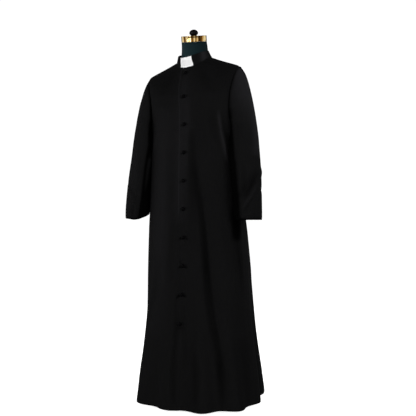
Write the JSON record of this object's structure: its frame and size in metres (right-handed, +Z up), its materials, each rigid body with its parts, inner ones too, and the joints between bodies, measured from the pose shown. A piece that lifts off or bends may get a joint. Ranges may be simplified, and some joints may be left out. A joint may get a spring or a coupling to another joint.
{
  "type": "cassock on a dress form",
  "caption": "Long black single-breasted cassock with a band collar and white tab, on a limbless dress form with a pole and a round base.",
  "frame": {"origin": "middle of the underside of the stand's round base, on the floor", "axes": "+Z up along the pole, -Y towards the garment's front, +X towards the wearer's left"},
  "size_m": [0.6349, 0.5743, 1.5917],
  "materials": {
    "black_cloth": "black wool blend with a faint satin sheen",
    "button_cloth": "black cloth over a domed button",
    "white_tab": "smooth white",
    "form_jersey": "dark teal jersey, stretched smooth",
    "brass": "polished",
    "black_lacquer": "black gloss",
    "dark_steel": "dark satin paint"
  },
  "bodies": {
    "root": {"front_left": "black_cloth", "front_right": "black_cloth", "back_left": "black_cloth", "back_right": "black_cloth", "sleeve_left_top": "black_cloth", "sleeve_left_under": "black_cloth", "sleeve_right_top": "black_cloth", "sleeve_right_under": "black_cloth", "collar_band": "black_cloth", "collar_tab": "white_tab", "button_01": "button_cloth", "button_02": "button_cloth", "button_03": "button_cloth", "button_04": "button_cloth", "button_05": "button_cloth", "button_06": "button_cloth", "button_07": "button_cloth", "button_08": "button_cloth", "button_09": "button_cloth", "button_10": "button_cloth", "form_torso": "form_jersey", "neck_cap": "brass", "neck_knob": "black_lacquer", "stand_pole": "dark_steel", "stand_base": "dark_steel"}
  },
  "joints": []
}
